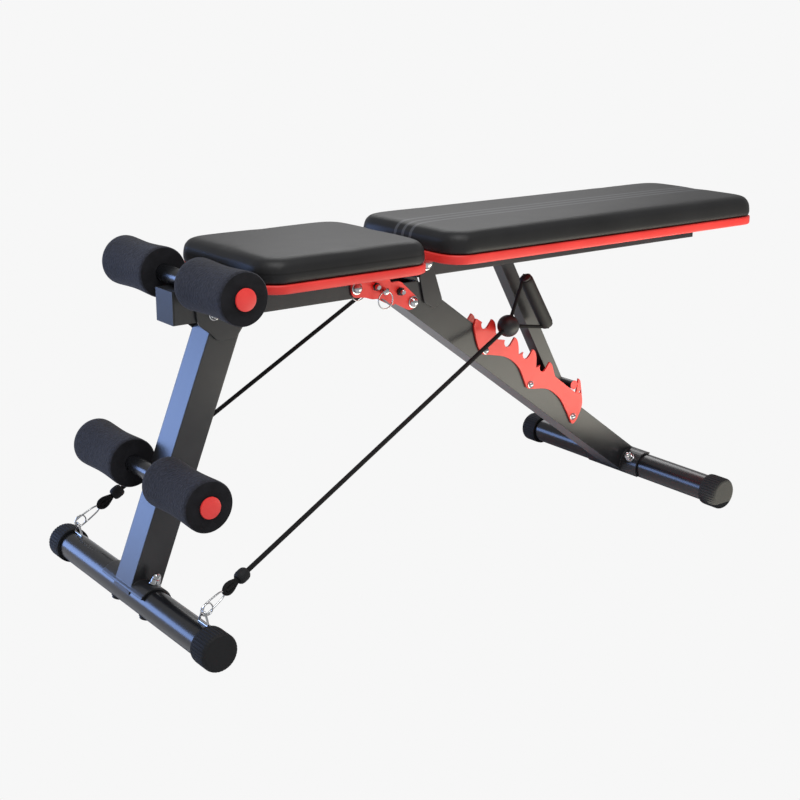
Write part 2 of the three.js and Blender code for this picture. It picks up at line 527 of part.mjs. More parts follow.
// ---- pull cords: eye on the foot, snap hook, cord, stopper ball and handle --------------------
const eyeY = -FOOT_HALF + CAP_LENGTH + EYE_HALF + EYE_WIRE + 1;
const eyeZ = CAP_R + FOOT_R + 1.2;
const eyeLoop = wireAlong([[EYE_X, eyeY - EYE_HALF, eyeZ - 0.5], [EYE_X, eyeY - EYE_HALF, eyeZ + 3],
  [EYE_X, eyeY - 0.25 * EYE_HALF, eyeZ + EYE_RISE - 0.4], [EYE_X, eyeY, eyeZ + EYE_RISE],
  [EYE_X, eyeY + 0.25 * EYE_HALF, eyeZ + EYE_RISE - 0.4],
  [EYE_X, eyeY + EYE_HALF, eyeZ + 3], [EYE_X, eyeY + EYE_HALF, eyeZ - 0.5]], EYE_WIRE, 14, 8);
const eyeReach = EYE_HALF + EYE_WIRE;
const eyeBase = box(EYE_X - 3, EYE_X + 3, eyeY - eyeReach, eyeY + eyeReach, eyeZ - 3, eyeZ + 1);
addPair('cord_eye', cut(join(eyeLoop, eyeBase), rod(frontFoot, FOOT_R + GAP, -FOOT_HALF, 0, 36)), CHROME);

function pullHandle(ball, gripEnds) {
  const ends = gripEnds.map((point) => new THREE.Vector3(...point));
  const way = ends[1].clone().sub(ends[0]).normalize();
  const middle = ends[0].clone().lerp(ends[1], 0.5);
  const turn = new THREE.Quaternion().setFromUnitVectors(new THREE.Vector3(0, 1, 0), way);
  const grip = solid(new THREE.CylinderGeometry(GRIP_R, GRIP_R, ends[0].distanceTo(ends[1]), 14)
    .applyQuaternion(turn).translate(...middle));
  const straps = ends.map((end, i) => {
    const outward = i ? 1 : -1;
    const corner = end.clone().addScaledVector(way, 4.5 * outward);
    const near = corner.clone().lerp(ball, 0.12);
    return wireAlong([ball, near, corner, end.clone().addScaledVector(way, -4 * outward)]
      .map((point) => point.toArray()), STRAP_R, 9, 8);
  });
  return join(grip, solid(new THREE.SphereGeometry(BALL_R, 14, 8).translate(...ball)), ...straps);
}

// The snap hook is a long wire loop round the eye's top, with a small opening at its gate.
const HOOK_LOOP = [[10, -1], [4, -1], [-1.5, -0.8], [-EYE_WIRE - HOOK_WIRE - GAP, 0], [-1.5, 0.8], [4, 1],
  [14, 0.9], [HOOK_LENGTH - 6, 0.7], [HOOK_LENGTH, 0], [HOOK_LENGTH - 6, -0.7], [15, -0.9]];

function addPullCord(side, hookY, { ball: ballAt, grip }) {
  const start = new THREE.Vector3(EYE_X, hookY, eyeZ + EYE_RISE);
  const ball = new THREE.Vector3(...ballAt);
  const way = ball.clone().sub(start).normalize();
  const across = new THREE.Vector3(-way.z, 0, way.x).normalize();
  const onCord = (run, off = 0) =>
    start.clone().addScaledVector(way, run).addScaledVector(across, off).toArray();
  const hookWay = HOOK_LOOP.map(([run, off]) => onCord(run, off * HOOK_HALF));
  add(`snap_hook_${side}`, wireAlong(hookWay, HOOK_WIRE, 36, 6), CHROME);
  const cordStart = HOOK_LENGTH + HOOK_WIRE + GAP;
  const cordEnd = start.distanceTo(ball) - BALL_R - GAP;
  const cordLine = [cordStart, 0.5 * (cordStart + cordEnd), cordEnd].map((run) => onCord(run));
  const clampLine = [0, 0.5, 1].map((share) => onCord(cordStart + CLAMP_AT + share * CLAMP_LENGTH));
  const line = wireAlong(cordLine, CORD_R, 28, 8);
  add(`pull_cord_${side}`, join(line, wireAlong(clampLine, CLAMP_R, 2, 12)), CORD);
  add(`pull_handle_${side}`, pullHandle(ball, grip), PLASTIC);
}
addPullCord('right', eyeY, HANDLES.right);
addPullCord('left', -eyeY, HANDLES.left);

export default group;
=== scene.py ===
# The look of the adjustable weight bench, in metres, in the row's frame.
import json
import math

import bmesh
import bpy
from mathutils import Matrix, Vector


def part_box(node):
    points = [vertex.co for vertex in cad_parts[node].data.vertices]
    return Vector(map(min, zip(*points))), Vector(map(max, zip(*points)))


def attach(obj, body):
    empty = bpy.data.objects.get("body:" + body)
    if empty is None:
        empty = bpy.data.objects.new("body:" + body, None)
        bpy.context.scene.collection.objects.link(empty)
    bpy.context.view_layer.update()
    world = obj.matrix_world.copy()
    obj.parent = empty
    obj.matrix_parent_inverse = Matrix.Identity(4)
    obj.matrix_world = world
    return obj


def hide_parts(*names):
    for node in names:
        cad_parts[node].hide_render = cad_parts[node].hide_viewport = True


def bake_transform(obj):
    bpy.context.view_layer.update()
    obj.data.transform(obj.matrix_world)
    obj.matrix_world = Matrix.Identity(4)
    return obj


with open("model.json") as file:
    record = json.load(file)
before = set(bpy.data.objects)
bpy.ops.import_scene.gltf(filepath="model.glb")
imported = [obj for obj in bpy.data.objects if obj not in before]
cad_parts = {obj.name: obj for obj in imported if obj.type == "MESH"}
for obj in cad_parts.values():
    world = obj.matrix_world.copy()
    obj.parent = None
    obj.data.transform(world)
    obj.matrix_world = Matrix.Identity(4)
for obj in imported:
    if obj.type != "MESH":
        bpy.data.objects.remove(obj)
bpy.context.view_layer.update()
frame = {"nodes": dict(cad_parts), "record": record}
record = frame["record"]
JOINTS = {j["name"]: j for j in record["behaviour"]["joints"]}
TAU = 2 * math.pi
SIDES = (("right", -1), ("left", 1))
FRONT_FOOT_X = -0.5095  # the front foot's axis
PLATE_FACE = 0.0243  # outer face of the side plates, from the middle


def joint_at(name):
    return Vector(JOINTS[name]["pos_m"])


# ---- camera ---------------------------------------------------------------------------------
camera_data = bpy.data.cameras.new("camera")
camera = bpy.data.objects.new("camera", camera_data)
bpy.context.scene.collection.objects.link(camera)
bpy.context.scene.camera = camera
YAW, PITCH, ROLL = math.radians(53.126), math.radians(16.498), 0.00434
forward = Vector((math.cos(YAW) * math.cos(PITCH), math.sin(YAW) * math.cos(PITCH), -math.sin(PITCH)))
across = Vector((math.sin(YAW), -math.cos(YAW), 0))
upward = across.cross(forward)
cam_x = across * math.cos(ROLL) + upward * math.sin(ROLL)
cam_y = upward * math.cos(ROLL) - across * math.sin(ROLL)
camera.matrix_world = Matrix((
    (cam_x.x, cam_y.x, -forward.x, -1.2087),
    (cam_x.y, cam_y.y, -forward.y, -1.4460),
    (cam_x.z, cam_y.z, -forward.z, 0.7489),
    (0, 0, 0, 1)))
camera_data.sensor_width = 36
camera_data.lens = 60.87
camera_data.shift_x = 0.0264
camera_data.shift_y = -0.0034


# ---- materials ------------------------------------------------------------------------------
def linear(colour):
    channels = [int(colour[i:i + 2], 16) / 255 for i in (1, 3, 5)]
    return [c / 12.92 if c <= 0.04045 else ((c + 0.055) / 1.055) ** 2.4 for c in channels] + [1]


def new_material(name):
    made = bpy.data.materials.new(name)
    made.use_nodes = True
    nodes = made.node_tree.nodes
    return made, nodes, made.node_tree.links, nodes["Principled BSDF"]


def noise_node(nodes, links, scale, detail=3.0, stretch=None):
    """Noise in the row's metres: scale is in waves per metre."""
    place = nodes.new("ShaderNodeTexCoord")
    node = nodes.new("ShaderNodeTexNoise")
    node.inputs["Scale"].default_value = scale
    node.inputs["Detail"].default_value = detail
    source = place.outputs["Object"]
    if stretch:
        mapping = nodes.new("ShaderNodeMapping")
        mapping.inputs["Scale"].default_value = stretch
        links.new(source, mapping.inputs["Vector"])
        source = mapping.outputs["Vector"]
    links.new(source, node.inputs["Vector"])
    return node


def ramp(nodes, links, source, low, high, start=0.3, end=0.7):
    node = nodes.new("ShaderNodeValToRGB")
    node.color_ramp.elements[0].position = start
    node.color_ramp.elements[1].position = end
    node.color_ramp.elements[0].color = low
    node.color_ramp.elements[1].color = high
    links.new(source, node.inputs["Fac"])
    return node.outputs["Color"]


def spread(nodes, links, source, low, high):
    node = nodes.new("ShaderNodeMapRange")
    node.inputs["To Min"].default_value = low
    node.inputs["To Max"].default_value = high
    links.new(source, node.inputs["Value"])
    return node.outputs["Result"]


def finish_of(name, dark, light, rough, metal=0.0, blotch=14.0, grain=900.0, bump=0.05, depth=0.0002,
              edge=0.0, coat=0.0, specular=0.5, sheen=0.0):
    """A finish whose colour and roughness drift with noise, over a fine grain."""
    made, nodes, links, shader = new_material(name)
    drift = noise_node(nodes, links, blotch)
    fine = noise_node(nodes, links, grain, 2.0)
    links.new(ramp(nodes, links, drift.outputs["Fac"], linear(dark), linear(light)),
              shader.inputs["Base Color"])
    links.new(spread(nodes, links, drift.outputs["Fac"], rough[0], rough[1]), shader.inputs["Roughness"])
    shader.inputs["Metallic"].default_value = metal
    shader.inputs["Specular IOR Level"].default_value = specular
    shader.inputs["Coat Weight"].default_value = coat
    shader.inputs["Coat Roughness"].default_value = 0.2
    shader.inputs["Sheen Weight"].default_value = sheen
    relief = nodes.new("ShaderNodeBump")
    relief.inputs["Strength"].default_value = bump
    relief.inputs["Distance"].default_value = depth
    links.new(fine.outputs["Fac"], relief.inputs["Height"])
    if edge:
        rounded = nodes.new("ShaderNodeBevel")
        rounded.samples = 4
        rounded.inputs["Radius"].default_value = edge
        links.new(rounded.outputs["Normal"], relief.inputs["Normal"])
    links.new(relief.outputs["Normal"], shader.inputs["Normal"])
    return made


FRAME = finish_of("powder_black", "#242528", "#303134", (0.26, 0.36), 0.25, bump=0.12, edge=0.0022, coat=0.25)
ROUND_FRAME = finish_of("tube_black", "#17181b", "#222327", (0.2, 0.3), 0.3, bump=0.1, coat=0.4)
RED = finish_of("powder_red", "#e5332d", "#f6443c", (0.34, 0.44), 0.0, bump=0.12, edge=0.0005, coat=0.1)
BAND = finish_of("band_red", "#dc2f2a", "#ef3d37", (0.4, 0.52), 0.0, grain=1400, bump=0.15)
RED_PLUG = finish_of("plug_red", "#ec3634", "#fb4742", (0.35, 0.45), 0.0, bump=0.05)
RUBBER = finish_of("cap_black", "#131416", "#1d1e20", (0.6, 0.75), 0.0, grain=1600, bump=0.2, specular=0.3)
PLASTIC = finish_of("plastic_black", "#141416", "#202123", (0.42, 0.55), 0.0, grain=1200, bump=0.15)
GRIP = finish_of("grip_black", "#131314", "#1f2020", (0.5, 0.65), 0.0, grain=1500, bump=0.4, specular=0.4)
CHROME = finish_of("chrome_plate", "#a9abad", "#dfe1e3", (0.06, 0.16), 1.0, blotch=60, bump=0.03)
NUT = finish_of("zinc_dark", "#2a2a2c", "#3a3b3d", (0.3, 0.45), 0.8, blotch=80, bump=0.05)
FOAM_SIDE = finish_of("foam_skin", "#1c1d24", "#2f3039", (0.85, 0.97), 0.0, blotch=260, grain=420, bump=0.9,
                      depth=0.0012, specular=0.25, sheen=0.08)
FOAM_END = finish_of("foam_end", "#17171a", "#222226", (0.9, 0.98), 0.0, blotch=60, grain=900, bump=0.6,
                     depth=0.0005, specular=0.2)
BRAID = finish_of("cord_black", "#0d0d0e", "#1b1b1c", (0.75, 0.9), 0.0, blotch=500, grain=1800, bump=0.7,
                  depth=0.0005, specular=0.25)


def vinyl(name, crease_z, stripes=(), stripe_half=0.0026):
    """Charcoal vinyl: fine leather grain, painted shade as a thin dark band along the sides at crease_z where
    the vinyl folds, printed stripes along X.
    """
    made, nodes, links, shader = new_material(name)
    drift = noise_node(nodes, links, 9.0)
    place = nodes.new("ShaderNodeTexCoord")
    axes = nodes.new("ShaderNodeSeparateXYZ")
    links.new(place.outputs["Object"], axes.inputs["Vector"])
    colour = ramp(nodes, links, drift.outputs["Fac"], linear("#1c1c1d"), linear("#262627"))

    def near(source, value, half, soft):
        """1 within half of value, falling to 0 over soft."""
        away = nodes.new("ShaderNodeMath")
        away.operation = "SUBTRACT"
        away.inputs[1].default_value = value
        links.new(source, away.inputs[0])
        size = nodes.new("ShaderNodeMath")
        size.operation = "ABSOLUTE"
        links.new(away.outputs[0], size.inputs[0])
        fade = nodes.new("ShaderNodeMapRange")
        fade.inputs["From Min"].default_value = half
        fade.inputs["From Max"].default_value = half + soft
        fade.inputs["To Min"].default_value = 1.0
        fade.inputs["To Max"].default_value = 0.0
        links.new(size.outputs[0], fade.inputs["Value"])
        return fade.outputs["Result"]

    def over(base, top, amount, gain):
        mix = nodes.new("ShaderNodeMix")
        mix.data_type = "RGBA"
        strength = nodes.new("ShaderNodeMath")
        strength.operation = "MULTIPLY"
        strength.inputs[1].default_value = gain
        links.new(amount, strength.inputs[0])
        links.new(strength.outputs[0], mix.inputs["Factor"])
        links.new(base, mix.inputs["A"])
        mix.inputs["B"].default_value = top
        return mix.outputs["Result"]

    for y in stripes:
        colour = over(colour, linear("#56575b"), near(axes.outputs["Y"], y, stripe_half, 0.0006), 0.75)
    # painted shade: a thin dark band along the sides at the crease height stands in for the shade in the
    # vinyl's fold
    crease_shade = near(axes.outputs["Z"], crease_z, 0.0004, 0.0012)
    colour = over(colour, linear("#141415"), crease_shade, 0.8)
    links.new(colour, shader.inputs["Base Color"])
    links.new(spread(nodes, links, drift.outputs["Fac"], 0.42, 0.52), shader.inputs["Roughness"])
    shader.inputs["Specular IOR Level"].default_value = 0.28
    grain = nodes.new("ShaderNodeTexVoronoi")
    grain.inputs["Scale"].default_value = 700
    links.new(place.outputs["Object"], grain.inputs["Vector"])
    relief = nodes.new("ShaderNodeBump")
    relief.inputs["Strength"].default_value = 0.18
    relief.inputs["Distance"].default_value = 0.0003
    links.new(grain.outputs["Distance"], relief.inputs["Height"])
    wave = nodes.new("ShaderNodeBump")
    wave.inputs["Strength"].default_value = 0.25
    wave.inputs["Distance"].default_value = 0.002
    links.new(noise_node(nodes, links, 16.0, 2.0).outputs["Fac"], wave.inputs["Height"])
    links.new(wave.outputs["Normal"], relief.inputs["Normal"])
    links.new(relief.outputs["Normal"], shader.inputs["Normal"])
    return made


# ---- building pieces ------------------------------------------------------------------------
def linked(name, data):
    piece = bpy.data.objects.new(name, data)
    bpy.context.scene.collection.objects.link(piece)
    return piece


def mesh_piece(name, vertices, faces, material, smooth=35):
    data = bpy.data.meshes.new(name)
    data.from_pydata([tuple(v) for v in vertices], [], faces)
    data.validate()
    data.update()
    for polygon in data.polygons:
        polygon.use_smooth = True
    data.set_sharp_from_angle(angle=math.radians(smooth))
    data.materials.append(material)
    return linked(name, data)


def ready(piece, body, slot, *nodes):
    if nodes:
        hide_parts(*nodes)
    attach(piece, body)
    return piece


def turned(name, profile, origin, axis, material, steps=48, smooth=35):
    """A solid of revolution: the profile lists (radius, distance along axis)."""
    axis = Vector(axis).normalized()
    side = axis.orthogonal().normalized()
    third = axis.cross(side)
    vertices, rings, faces = [], [], []
    for radius, run in profile:
        centre = Vector(origin) + axis * run
        if radius < 1e-7:
            rings.append([len(vertices)] * steps)
            vertices.append(centre)
            continue
        rings.append(list(range(len(vertices), len(vertices) + steps)))
        for i in range(steps):
            a = TAU * i / steps
            vertices.append(centre + (side * math.cos(a) + third * math.sin(a)) * radius)
    for low, high in zip(rings, rings[1:]):
        for i in range(steps):
            corners = [low[i], low[(i + 1) % steps], high[(i + 1) % steps], high[i]]
            unique = list(dict.fromkeys(corners))
            if len(unique) > 2:
                faces.append(unique)
    return mesh_piece(name, vertices, faces, material, smooth)


def wire(name, points, radius, material, closed=False, smooth=True):
    """A round wire or cord along its points, as a curve."""
    data = bpy.data.curves.new(name, "CURVE")
    data.dimensions = "3D"
    data.bevel_depth = radius
    data.bevel_resolution = 4
    data.use_fill_caps = True
    spline = data.splines.new("POLY" if not smooth else "NURBS")
    spline.points.add(len(points) - 1)
    for point, place in zip(spline.points, points):
        point.co = (*place, 1)
    spline.use_cyclic_u = closed
    if smooth:
        spline.use_endpoint_u = not closed
        spline.order_u = 4
        data.resolution_u = 8
    data.materials.append(material)
    return linked(name, data)


def polyline(points, count):
    """Even points along a Catmull-Rom curve through the given ones."""
    given = [Vector(p) for p in points]
    ends = [2 * given[0] - given[1], *given, 2 * given[-1] - given[-2]]
    dense = []
    for i in range(1, len(ends) - 2):
        a, b, c, d = ends[i - 1:i + 3]
        for k in range(40):
            t = k / 40
            dense.append(0.5 * (2 * b + (c - a) * t + (2 * a - 5 * b + 4 * c - d) * t * t
                                + (3 * b - a - 3 * c + d) * t ** 3))
    dense.append(given[-1])
    runs = [0.0]
    for a, b in zip(dense, dense[1:]):
        runs.append(runs[-1] + (b - a).length)
    made, at = [], 0
    for k in range(count):
        want = runs[-1] * k / (count - 1)
        while at < len(runs) - 2 and runs[at + 1] < want:
            at += 1
        span = max(runs[at + 1] - runs[at], 1e-9)
        made.append(dense[at].lerp(dense[at + 1], min(1, (want - runs[at]) / span)))
    return made


def bolt_dome(name, centre, axis, radius, body, material=None, washer=True):
    """A domed nut or bolt head on its washer, facing along axis."""
    r = radius
    profile = ([(0, 0), (r * 1.05, 0), (r * 1.05, 0.0012), (r * 0.9, 0.0014)] if washer
               else [(0, 0), (r * 0.9, 0)])
    profile += [(r * 0.9, r * 0.22), (r * 0.86, r * 0.42), (r * 0.72, r * 0.68), (r * 0.5, r * 0.86),
                (r * 0.25, r * 0.96), (0, r)]
    piece = turned(name, profile, centre, axis, material or CHROME, 32, 40)
    return ready(piece, body, "chrome")


# ---- pull cords -----------------------------------------------------------------------------
EYE_HALF = 0.0100
CORD_D = 0.0062
BALL_R = 0.016
GRIP_R = 0.010
HOOK_END = 0.0385  # from the eye to where the cord leaves the snap hook
HOOK_COIL_SIDE = 0.0022
# Each handle's stopper ball and the two ends of its grip; the left one hangs under the backrest board.
HANDLES = {
    "right": ((0.0775, -0.0409, 0.2954), (0.1123, -0.0365, 0.3600), (0.1578, -0.0365, 0.2862)),
    "left": ((0.0415, 0.1200, 0.3900), (0.1025, 0.0770, 0.3930), (0.1025, 0.1630, 0.3930)),
}
cords = {}
for side, sign in SIDES:
    eye_low, eye_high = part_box(f"cord_eye_{side}")
    eye = Vector(((eye_low.x + eye_high.x) / 2, (eye_low.y + eye_high.y) / 2, eye_high.z - 0.002))
    ball = Vector(HANDLES[side][0])
    way = (ball - eye).normalized()
    lift = Vector((-way.z, 0, way.x)).normalized()
    start = eye + way * HOOK_END
    end = ball - way * (BALL_R - 0.002)
    points = [start.lerp(end, i / 40) for i in range(41)]
    runs = [(CORD_D / 2, (point - start).length) for point in points]
    cord = turned(f"cord_{side}", [(0, 0), *runs, (0, runs[-1][1])], start, way, BRAID, 16)
    cords[side] = (cord, eye, ball, way, lift, start, end, points)


def cord_pieces(side, sign):
    cord, eye, ball, way, lift, start, end, points = cords[side]

    def at(run, off=0.0, out=0.0):
        return start + way * run + lift * off + Vector((0, 1, 0)) * out

    loop = [at(0.020, 0.0006), at(0.015, 0.0028), at(0.008, 0.0054), at(0.0015, 0.0050), at(-0.0028, 0.0),
            at(0.0015, -0.0050), at(0.008, -0.0054), at(0.015, -0.0028), at(0.020, -0.0006)]
    noose = wire(f"cord_loop_{side}", polyline(loop, 40), CORD_D / 2 * 0.9, BRAID, smooth=False)
    ready(noose, "front_frame", "cord")
    clamp = turned(f"cord_clamp_{side}", [
        (0, 0), (0.0062, 0), (0.0078, 0.002), (0.0085, 0.005), (0.0085, 0.011), (0.0078, 0.014),
        (0.0062, 0.016), (0, 0.016)], at(0.021), way, RUBBER, 32)
    ready(clamp, "front_frame", "cap_rubber")
    half = 0.0060

    def hook_at(run, off):
        return eye + way * run + lift * off

    run_in = -0.0035
    hook = wire(f"hook_{side}", polyline([
        hook_at(0.012, -half), hook_at(0.004, -half), hook_at(-0.0015, -0.8 * half), hook_at(run_in, 0),
        hook_at(-0.0015, 0.8 * half), hook_at(0.004, half), hook_at(0.014, half),
        hook_at(HOOK_END - 0.008, 0.72 * half), hook_at(HOOK_END - 0.0015, 0),
        hook_at(HOOK_END - 0.008, -0.72 * half), hook_at(0.013, -half)], 90), 0.0011, CHROME, smooth=False)
    ready(hook, "front_frame", "chrome", f"snap_hook_{side}")
    coil = wire(f"hook_coil_{side}", [
        hook_at(0.006 + 0.0072 * math.cos(TAU * i / 32), 0.0072 * math.sin(TAU * i / 32))
        + Vector((0, sign * HOOK_COIL_SIDE, 0)) for i in range(32)], 0.0009, CHROME, closed=True, smooth=False)
    ready(coil, "front_frame", "chrome")
    base_z = eye.z - 0.0152
    corners = [(0, -EYE_HALF, 0), (0, -EYE_HALF * 0.95, 0.004), (0, -0.0035, 0.0145), (0, 0, 0.0152),
               (0, 0.0035, 0.0145), (0, EYE_HALF * 0.95, 0.004), (0, EYE_HALF, 0)]
    ring_points = polyline([Vector((eye.x + x, eye.y + y, base_z + z)) for x, y, z in corners], 40)
    ring = wire(f"eye_ring_{side}", ring_points, 0.0014, CHROME, smooth=False)
    ready(ring, "front_frame", "chrome", f"cord_eye_{side}")
    foot_bar = turned(f"eye_bar_{side}", [(0, -0.0112), (0.0016, -0.0112), (0.0016, 0.0112), (0, 0.0112)],
                      Vector((eye.x, eye.y, base_z - 0.0002)), (0, 1, 0), CHROME, 16)
    ready(foot_bar, "front_frame", "chrome")

    sphere = [(BALL_R * math.sin(math.pi * i / 24), -BALL_R * math.cos(math.pi * i / 24)) for i in range(25)]
    stopper = turned(f"ball_{side}", [(max(r, 0) if 0 < i < 24 else 0, h) for i, (r, h) in enumerate(sphere)],
                     ball, way, PLASTIC, 40, 60)
    ready(stopper, "rear_frame", "black_plastic", f"pull_handle_{side}")
    top, low = (Vector(end_at) for end_at in HANDLES[side][1:])
    down = (low - top).normalized()
    length = (low - top).length
    profile = [(0, 0), (GRIP_R * 0.72, 0), (GRIP_R * 0.95, 0.001), (GRIP_R, 0.003)]
    for i in range(1, 12):
        profile.append((GRIP_R, length * i / 12))
    profile += [(GRIP_R, length - 0.003), (GRIP_R * 0.95, length - 0.001), (GRIP_R * 0.72, length),
                (0, length)]
    grip = turned(f"grip_{side}", profile, top, down, GRIP, 40)
    ready(grip, "rear_frame", "black_plastic")
    for end_name, place, outward in (("top", top, -down), ("low", low, down)):
        collar = turned(f"grip_{end_name}_{side}", [
            (0, -0.002), (0.0085, -0.002), (0.0088, 0.002), (0.006, 0.004), (0, 0.0044)],
            place, outward, PLASTIC, 32)
        ready(collar, "rear_frame", "black_plastic")
        corner = place + outward * 0.0055
        strap = wire(f"strap_{end_name}_{side}", polyline([
            ball + (corner - ball).normalized() * (BALL_R - 0.003), ball.lerp(corner, 0.5),
            ball.lerp(corner, 0.9), corner + outward * 0.0006, place + outward * 0.002], 30),
            0.0026, BRAID, smooth=False)
        ready(strap, "rear_frame", "black_plastic")
    return [noose, clamp]


for side, sign in SIDES:
    extras = cord_pieces(side, sign)
    cord, eye, ball, way, lift, start, end, points = cords[side]
    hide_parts(f"pull_cord_{side}")
    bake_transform(cord)


# ---- pads -----------------------------------------------------------------------------------
PAD_CORNER = 0.036


def outline(x0, x1, y0, y1, corner, inset=0.0, steps=10):
    radius = max(corner - inset, 0.004)
    points = []
    for quarter in range(4):
        cx = x1 - inset - radius if quarter in (0, 3) else x0 + inset + radius
        cy = y1 - inset - radius if quarter < 2 else y0 + inset + radius
        for i in range(steps + 1):
            a = (quarter + i / steps) * TAU / 4
            points.append((cx + radius * math.cos(a), cy + radius * math.sin(a)))
    return points


def loft(name, rings, material, smooth=35):
    vertices = [Vector((x, y, z)) for ring, z in rings for x, y in ring]
    n = len(rings[0][0])
    faces = []
    for r in range(len(rings) - 1):
        for i in range(n):
            j = (i + 1) % n
            faces.append((r * n + i, r * n + j, (r + 1) * n + j, (r + 1) * n + i))
    faces.append(tuple(reversed(range(n))))
    faces.append(tuple((len(rings) - 1) * n + i for i in range(n)))
    return mesh_piece(name, vertices, faces, material, smooth)


def board(name, node, body):
    low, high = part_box(node)
    rings = []
    for inset, z in ((0.0016, low.z), (0.0004, low.z + 0.0006), (0, low.z + 0.002), (0, high.z - 0.002),
                     (0.0004, high.z - 0.0006), (0.0016, high.z)):
        rings.append((outline(low.x, high.x, low.y, high.y, PAD_CORNER, inset), z))
    ready(loft(name, rings, BAND, 50), body, "board_red", node)


def cushion(name, node, body, material, crown, round_edge, puff):
    low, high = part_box(node)
    rings = []
    shrink = 0.0004
    height = high.z - low.z - shrink
    rings.append((outline(low.x, high.x, low.y, high.y, PAD_CORNER, shrink + 0.002), low.z + 0.0002))
    rings.append((outline(low.x, high.x, low.y, high.y, PAD_CORNER, shrink), low.z + 0.003))
    for i in range(9):
        a = (i / 8) * TAU / 4
        rings.append((outline(low.x, high.x, low.y, high.y, PAD_CORNER,
                              shrink + round_edge * (1 - math.cos(a))),
                      low.z + height - round_edge * (1 - math.sin(a))))
    pad = loft(name, rings, material)
    remesh = pad.modifiers.new("remesh", "REMESH")
    remesh.mode = "VOXEL"
    remesh.voxel_size = 0.005
    apply(pad, remesh)
    inflate(pad, puff, low.z)
    smooth = pad.modifiers.new("smooth", "SUBSURF")
    smooth.levels = 1
    apply(pad, smooth)
    mesh = pad.data
    centre = (low + high) / 2
    for vertex in mesh.vertices:
        rise = (vertex.co.z - low.z) / (high.z - low.z)
        across = abs(vertex.co.y - centre.y) / ((high.y - low.y) / 2)
        along = abs(vertex.co.x - centre.x) / ((high.x - low.x) / 2)
        if rise > 0.5:
            vertex.co.z += crown * max(0, 1 - across ** 2.5) * max(0, 1 - along ** 6)
        if rise < 0.05:
            vertex.co.z = max(vertex.co.z, low.z)
    for polygon in mesh.polygons:
        polygon.use_smooth = True
    mesh.materials.clear()
    mesh.materials.append(material)
    ready(pad, body, "vinyl", node)
    return pad


def apply(piece, modifier):
    bpy.context.view_layer.objects.active = piece
    piece.select_set(True)
    bpy.ops.object.modifier_apply(modifier=modifier.name)
    piece.select_set(False)


def inflate(pad, cap, floor_z):
    """Blows the pad up a little as cloth, holding its underside on its board."""
    before = [v.co.copy() for v in pad.data.vertices]
    cloth = pad.modifiers.new("cloth", "CLOTH")
    cloth.settings.use_pressure = True
    cloth.settings.uniform_pressure_force = 4
    cloth.settings.effector_weights.gravity = 0
    cloth.settings.quality = 5
    cloth.point_cache.frame_start = 1
    cloth.point_cache.frame_end = 20
    scene = bpy.context.scene
    for number in range(1, 21):
        scene.frame_set(number)
    apply(pad, cloth)
    scene.frame_set(1)
    for vertex, old in zip(pad.data.vertices, before):
        move = vertex.co - old
        if move.length > cap:
            move *= cap / move.length
        rise = min(1.0, max(0.0, (old.z - floor_z) / 0.016))
        vertex.co = old + move * (rise * rise * (3 - 2 * rise))


seat_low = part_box("seat_cushion")[0]
back_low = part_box("backrest_cushion")[0]
seat_vinyl = vinyl("vinyl_seat", seat_low.z + 0.013)
back_vinyl = vinyl("vinyl_back", back_low.z - 0.02, stripes=(-0.0165, 0.0, 0.0165))
board("seat_band", "seat_board", "front_frame")
board("back_band", "backrest_board", "backrest")
cushion("seat_pad", "seat_cushion", "front_frame", seat_vinyl, 0.0022, 0.015, 0.0015)
cushion("back_pad", "backrest_cushion", "backrest", back_vinyl, 0.0018, 0.016, 0.0015)


# ---- feet -----------------------------------------------------------------------------------
def foot(end, body):
    low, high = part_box(f"{end}_foot_tube")
    centre = Vector(((low.x + high.x) / 2, 0, (low.z + high.z) / 2))
    radius = (high.z - low.z) / 2
    tube = turned(f"{end}_tube", [(0, low.y), (radius - 0.002, low.y), (radius, low.y + 0.001),
                  (radius, high.y - 0.001), (radius - 0.002, high.y), (0, high.y)], centre, (0, 1, 0),
                  ROUND_FRAME, 72)
    ready(tube, body, "frame_black", f"{end}_foot_tube")
    for side, sign in SIDES:
        cap_low, cap_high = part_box(f"{end}_foot_cap_{side}")
        outer = (cap_high.z - cap_low.z) / 2
        length = cap_high.y - cap_low.y
        face = Vector((centre.x, sign * max(abs(cap_low.y), abs(cap_high.y)), centre.z))
        vertices, faces = [], []
        steps = 216
        rings = [(outer - 0.0045, 0.0, 0), (outer - 0.0022, 0.0006, 0.2), (outer - 0.0006, 0.0026, 0.8),
                 (outer, 0.0045, 1), (outer, length - 0.003, 1), (outer - 0.0004, length - 0.0026, 0),
                 (outer - 0.0004, length, 0), (radius + 0.0003, length, 0)]
        for r, run, groove in rings:
            for i in range(steps):
                a = TAU * i / steps
                dip = 0.0008 * groove * (i % 6 in (0, 1))
                vertices.append(face + Vector(
                    ((r - dip) * math.cos(a), -sign * run, (r - dip) * math.sin(a))))
        for k in range(len(rings) - 1):
            for i in range(steps):
                j = (i + 1) % steps
                faces.append((k * steps + i, k * steps + j, (k + 1) * steps + j, (k + 1) * steps + i))
        faces.append(tuple(range(steps)))
        cap = mesh_piece(f"{end}_cap_{side}", vertices, faces, RUBBER, 30)
        work = bmesh.new()
        work.from_mesh(cap.data)
        bmesh.ops.recalc_face_normals(work, faces=work.faces)
        work.to_mesh(cap.data)
        work.free()
        ready(cap, body, "cap_rubber", f"{end}_foot_cap_{side}")


foot("front", "front_frame")
foot("rear", "rear_frame")


